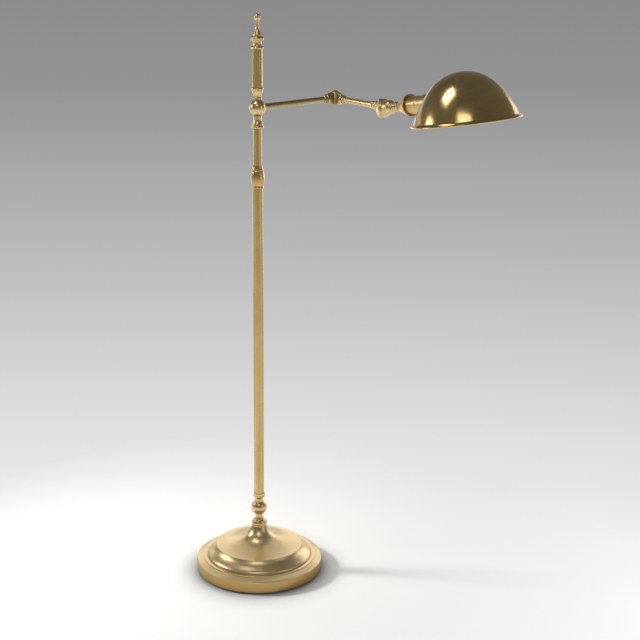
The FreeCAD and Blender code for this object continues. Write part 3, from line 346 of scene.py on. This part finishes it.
def cast_iron():
    """The sand-cast weight: coarse grain, dark grey with rust in the hollows."""
    n = Nodes("cast_iron")
    place = n.place()
    grain = n.noise(place, 420.0, 6.0, 0.7)
    patch = n.noise(place, 18.0, 4.0, 0.6, 0.5)
    tone = n.blend(n.spread(grain, 0.35, 0.7), (0.075, 0.072, 0.070), (0.16, 0.15, 0.145))
    tone = n.blend(n.spread(patch, 0.55, 0.75, 0.0, 0.7), tone, (0.17, 0.07, 0.03))
    n.link(tone, n.shader.inputs["Base Color"])
    n.link(n.spread(grain, 0.3, 0.7, 0.62, 0.85), n.shader.inputs["Roughness"])
    n.link(n.bump(grain, 0.6, 0.0008), n.shader.inputs["Normal"])
    n.set(Metallic=0.55)
    return n


def foot_rubber():
    """Soft dark feet with dust in the pores and a worn sole."""
    n = Nodes("foot_rubber")
    place = n.place()
    pores = n.noise(place, 650.0, 4.0, 0.65)
    dust = n.noise(place, 70.0, 4.0, 0.6, 0.4)
    tone = n.blend(n.spread(dust, 0.45, 0.75, 0.0, 0.8), (0.022, 0.021, 0.020), (0.085, 0.080, 0.074))
    n.link(tone, n.shader.inputs["Base Color"])
    n.link(n.spread(pores, 0.3, 0.7, 0.70, 0.92), n.shader.inputs["Roughness"])
    n.link(n.bump(pores, 0.4, 0.0004), n.shader.inputs["Normal"])
    n.set(Specular_IOR_Level=0.35)
    return n


def bushing_plastic():
    """Moulded black bushing with a spark-eroded texture."""
    n = Nodes("bushing_plastic")
    place = n.place()
    grain = n.noise(place, 1300.0, 3.0, 0.6)
    marks = n.noise(place, 120.0, 3.0, 0.6)
    tone = n.blend(n.spread(marks, 0.4, 0.7), (0.018, 0.018, 0.019), (0.035, 0.034, 0.033))
    n.link(tone, n.shader.inputs["Base Color"])
    n.link(n.spread(grain, 0.3, 0.7, 0.42, 0.60), n.shader.inputs["Roughness"])
    n.link(n.bump(grain, 0.3, 0.0002), n.shader.inputs["Normal"])
    return n


def sliding_nylon():
    """The pale bush and guide ring of the telescopic pole, polished where they slide."""
    n = Nodes("sliding_nylon")
    place = n.place()
    rubbed = n.noise(n.along(POLE_AXIS, 25.0, 420.0), 1.0, 3.0, 0.6)
    tone = n.blend(n.spread(rubbed, 0.35, 0.7), (0.70, 0.67, 0.58), (0.52, 0.48, 0.38))
    n.link(tone, n.shader.inputs["Base Color"])
    n.link(n.spread(rubbed, 0.3, 0.7, 0.32, 0.5), n.shader.inputs["Roughness"])
    n.link(n.bump(rubbed, 0.15, 0.0002), n.shader.inputs["Normal"])
    n.set(Subsurface_Weight=0.08)
    return n


def porcelain():
    """The socket's glazed insulator, a little yellowed."""
    n = Nodes("porcelain")
    place = n.place()
    glaze = n.noise(place, 60.0, 3.0, 0.5)
    stain = n.noise(place, 24.0, 4.0, 0.6, 0.4)
    tone = n.blend(n.spread(stain, 0.45, 0.8, 0.0, 0.7), (0.78, 0.75, 0.68), (0.62, 0.55, 0.42))
    n.link(tone, n.shader.inputs["Base Color"])
    n.link(n.spread(glaze, 0.3, 0.7, 0.12, 0.24), n.shader.inputs["Roughness"])
    n.link(n.bump(glaze, 0.08, 0.0006), n.shader.inputs["Normal"])
    return n


WEARS = {
    pole_brass: ("lower_tube", "upper_tube", "clutch_collar", "top_sleeve"),
    turned_brass: (
        "base_neck", "foot_plug", "hub_lower_bell", "hub_upper_bell", "hub_ball", "top_cap", "finial",
    ),
    first_arm_shaded_brass: ("first_arm_tube", "elbow_lower"),
    second_arm_brass: ("second_arm_tube", "elbow_upper"),
    knuckle_brass: ("swivel_base", "swivel_head", "elbow_screw"),
    holder_brass: ("holder_cup", "holder_housing", "shade_gallery", "shade_ring"),
    base_brass: ("base_shell",),
    shade_brass: ("shade",),
    shell_brass: ("screw_shell", "centre_contact"),
    bright_steel: (
        "tie_pipe", "bottom_washer", "bottom_nut", "hub_pipe", "hub_washers", "elbow_washer",
        "swivel_washer", "stop_screw", "stem_pipe", "stem_nut", "turn_washers", "holder_screws",
    ),
    cover_steel: ("base_cover",),
    cast_iron: ("base_weight",),
    foot_rubber: ("rubber_feet",),
    bushing_plastic: ("cord_bushing",),
    sliding_nylon: ("clutch_bush", "guide_ring"),
    porcelain: ("socket_insulator",),
}


def dress_nodes():
    """Give every node its finish, and stop if one is left without."""
    left = set(frame["nodes"])
    for make, names in WEARS.items():
        material = make().material
        for name in names:
            slots = frame["nodes"][name].data.materials
            slots.clear()
            slots.append(material)
            left.discard(name)
    if left:
        raise ValueError(f"nodes with no finish: {sorted(left)}")


# ---------------------------------------------------------------- stage
FLOOR_R = 60.0
EYE_HEIGHT, EYE_AWAY = CAMERA_AT[2], -CAMERA_AT[1]    # where the floor's greys are seen from
HORIZON_SLOPE, NEAR_SLOPE = 0.05, 0.48      # ends of the floor's greys: height over distance
HORIZON_GREY = 0.245
# Painted light: greys the floor glows with, paler near the lamp and darker far off
FLOOR_GLOW_GREYS = (
    (0.0, HORIZON_GREY), (0.18, 0.29), (0.305, 0.36), (0.57, 0.58), (0.845, 0.83), (0.95, 0.94), (1.0, 0.97))
WHITE_AT_Y, SIDE_STRETCH = -0.6, 0.5        # middle of the floor's painted pool of light, its slower fade sideways
CONTACT_REACH = 0.08                        # painted contact shadow: the floor darkens this near to the object
SHADOW_R, PLAIN_R = 0.28, 0.85              # shadows show up to the first radius, none past the second, where the floor only glows with its painted greys
SKY_GREYS = ((0.0, HORIZON_GREY), (0.30, 0.16), (1.0, 0.11))


def grey_ramp(nodes, links, value, stops):
    """A smooth run of greys over a value from 0 to 1."""
    ramp = nodes.new("ShaderNodeValToRGB")
    ramp.color_ramp.interpolation = "B_SPLINE"
    links.new(value, ramp.inputs["Fac"])
    while len(ramp.color_ramp.elements) < len(stops):
        ramp.color_ramp.elements.new(0.5)
    for element, (at, grey) in zip(ramp.color_ramp.elements, stops):
        element.position = at
        element.color = (grey, grey, grey, 1.0)
    return ramp.outputs["Color"]


def ray_seen(nodes, links):
    """1 for camera, glossy and transmission rays."""
    path = nodes.new("ShaderNodeLightPath")
    first = nodes.new("ShaderNodeMath")
    first.operation = "MAXIMUM"
    links.new(path.outputs["Is Camera Ray"], first.inputs[0])
    links.new(path.outputs["Is Glossy Ray"], first.inputs[1])
    second = nodes.new("ShaderNodeMath")
    second.operation = "MAXIMUM"
    links.new(first.outputs["Value"], second.inputs[0])
    links.new(path.outputs["Is Transmission Ray"], second.inputs[1])
    return second.outputs["Value"]


def floor_material():
    """Pale floor that takes the shadow near the lamp and fades into the grey backdrop behind it. Its greys
    are painted light, paler near the lamp: for camera, glossy and transmission rays it glows with them, a
    tenth of its look within SHADOW_R and all of it past PLAIN_R.
    """
    n = Nodes("pale_floor")
    centred = n.add("ShaderNodeMapping", vector_type="POINT")
    centred.inputs["Location"].default_value = (0.0, -WHITE_AT_Y, 0.0)
    centred.inputs["Scale"].default_value = (SIDE_STRETCH, 1.0, 1.0)
    n.link(n.place(), centred.inputs["Vector"])
    length = n.add("ShaderNodeVectorMath", operation="LENGTH")
    n.link(centred.outputs["Vector"], length.inputs[0])
    reach = n.math("ADD", length.outputs["Value"], WHITE_AT_Y)
    slope = n.math("DIVIDE", EYE_HEIGHT, n.math("ADD", reach, EYE_AWAY))
    painted_light_greys = grey_ramp(n.tree.nodes, n.tree.links, n.spread(slope, HORIZON_SLOPE, NEAR_SLOPE), FLOOR_GLOW_GREYS)
    # Painted light: the floor glows with its greys, though it is no lamp
    glow = n.add("ShaderNodeEmission")
    # Painted contact shadow: ambient occlusion darkens the floor's greys beside the object
    near = n.spread(n.crevice(CONTACT_REACH), 0.50, 1.0, 0.30, 1.0)
    painted_light_greys = n.blend(near, (0.0, 0.0, 0.0), painted_light_greys)
    n.link(painted_light_greys, glow.inputs["Color"])
    n.link(painted_light_greys, n.shader.inputs["Base Color"])
    n.set(Roughness=0.9, Specular_IOR_Level=0.0)
    from_lamp = n.add("ShaderNodeVectorMath", operation="LENGTH")
    n.link(n.place(), from_lamp.inputs[0])
    away = n.spread(from_lamp.outputs["Value"], SHADOW_R, PLAIN_R, 0.10, 1.0)
    mix = n.add("ShaderNodeMixShader")
    n.link(n.math("MULTIPLY", ray_seen(n.tree.nodes, n.tree.links), away), mix.inputs[0])
    n.link(n.shader.outputs["BSDF"], mix.inputs[1])
    n.link(glow.outputs["Emission"], mix.inputs[2])
    n.link(mix.outputs["Shader"], n.tree.nodes["Material Output"].inputs["Surface"])
    return n.material


def make_floor():
    """A level floor far wider than any view."""
    mesh = bpy.data.meshes.new("floor")
    corners = [(x * FLOOR_R, y * FLOOR_R, 0) for x, y in ((-1, -1), (1, -1), (1, 1), (-1, 1))]
    mesh.from_pydata(corners, [], [(0, 1, 2, 3)])
    mesh.materials.append(floor_material())
    floor = bpy.data.objects.new("floor", mesh)
    bpy.context.scene.collection.objects.link(floor)


def make_world():
    """Soft even light, and a grey backdrop where the camera or polished metal sees it."""
    world = bpy.data.worlds.new("studio")
    world.use_nodes = True
    bpy.context.scene.world = world
    nodes, links = world.node_tree.nodes, world.node_tree.links
    soft = nodes["Background"]
    soft.inputs["Color"].default_value = (1.0, 0.99, 0.97, 1.0)
    soft.inputs["Strength"].default_value = 0.26
    toward = nodes.new("ShaderNodeTexCoord")
    part = nodes.new("ShaderNodeSeparateXYZ")
    links.new(toward.outputs["Generated"], part.inputs["Vector"])
    seen = nodes.new("ShaderNodeBackground")
    links.new(grey_ramp(nodes, links, part.outputs["Z"], SKY_GREYS), seen.inputs["Color"])
    mix = nodes.new("ShaderNodeMixShader")
    links.new(ray_seen(nodes, links), mix.inputs[0])
    links.new(soft.outputs["Background"], mix.inputs[1])
    links.new(seen.outputs["Background"], mix.inputs[2])
    links.new(mix.outputs["Shader"], nodes["World Output"].inputs["Surface"])


def softbox(name, at, aim, width, height, brightness, mirrored=True):
    """A rectangular lamp of a given brightness, 1 being that of white paper under plain light.
    One that isn't mirrored shows in no reflection."""
    data = bpy.data.lights.new(name, "AREA")
    data.shape = "RECTANGLE"
    data.size, data.size_y = width, height
    data.energy = brightness * math.pi * width * height
    data.color = (1.0, 0.985, 0.955)
    light = bpy.data.objects.new(name, data)
    bpy.context.scene.collection.objects.link(light)
    light.location = at
    light.rotation_euler = (Vector(aim) - Vector(at)).to_track_quat("-Z", "Y").to_euler()
    light.visible_camera = False
    light.visible_glossy = mirrored


def make_lights():
    """Each soft box: name, place, what it faces, width, height and brightness."""
    softbox("key_left", (-2.7, 0.15, 1.65), (0.1, 0.0, 0.45), 1.0, 1.0, 4.5)
    softbox("window_above", (-0.58, -0.26, 2.49), (0.40, -0.12, 1.1), 0.50, 0.60, 5.0)
    softbox("front_above", (-0.15, -2.6, 3.15), (0.3, 0.0, 0.8), 1.5, 1.1, 1.9)
    softbox("back_low", (-0.1, 1.3, 0.60), (0.0, 0.0, 0.1), 2.6, 0.75, 1.15)
    softbox("over_base", (0.0, 0.60, 1.0), (0.0, 0.0, 0.05), 1.6, 0.6, 0.45)
    softbox("back_right", (2.4, 2.2, 1.1), (0.1, 0.0, 0.4), 1.6, 1.4, 1.2)
    softbox("fill_right", (2.6, -1.2, 1.3), (0.1, 0.0, 0.6), 0.8, 1.6, 1.0)
    softbox("low_left", (-2.3, 0.05, 1.65), (0.1, 0.0, 0.05), 0.36, 0.36, 140.0, mirrored=False)


make_camera()
make_floor()
make_world()
make_lights()
dress_nodes()
bpy.context.scene.view_settings.view_transform = "Standard"
